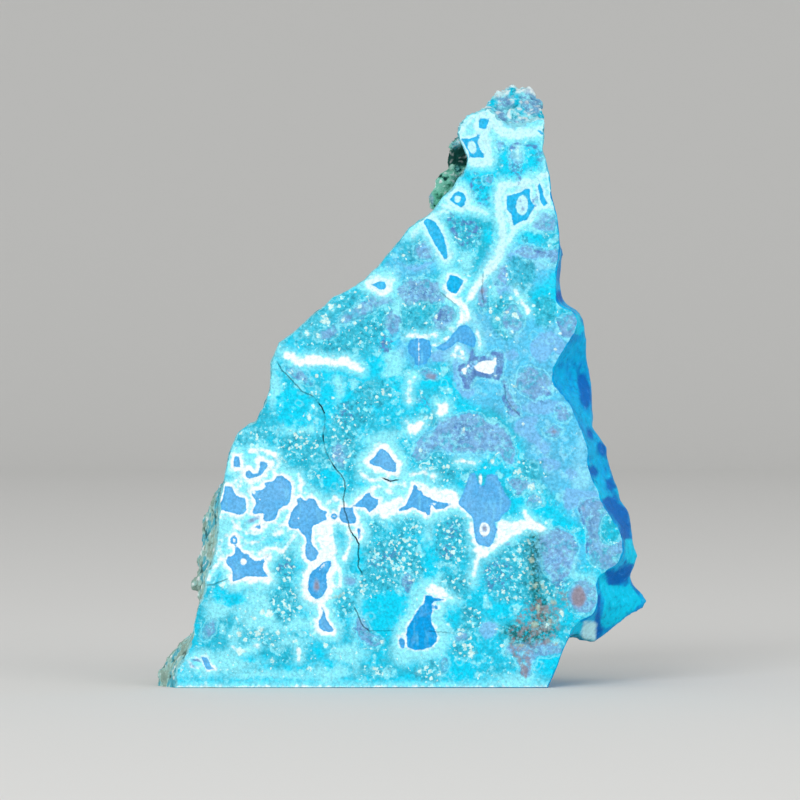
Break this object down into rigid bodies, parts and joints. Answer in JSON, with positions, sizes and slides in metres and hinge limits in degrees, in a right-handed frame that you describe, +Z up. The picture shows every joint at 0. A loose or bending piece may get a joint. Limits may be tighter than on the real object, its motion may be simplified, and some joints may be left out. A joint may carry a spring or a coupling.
{
  "type": "rough shattuckite",
  "caption": "Hand-sized chunk of blue copper silicate stone, sawn flat on its front and base, broken on one flank and naturally rough behind.",
  "frame": {"origin": "centre of the bounding box's footprint, at the sawn base", "axes": "+Z up from the sawn base; the sawn front face looks towards -Y and leans back about 10 degrees; +X to the right as seen from the front, towards the broken flank"},
  "size_m": [0.0598, 0.0222, 0.0737],
  "materials": {
    "stone": "honed saw-cut front in teal, cyan and blue with white rims; glossy broken flank; green and tan natural skin behind"
  },
  "bodies": {
    "root": {"stone": "stone"}
  },
  "joints": []
}
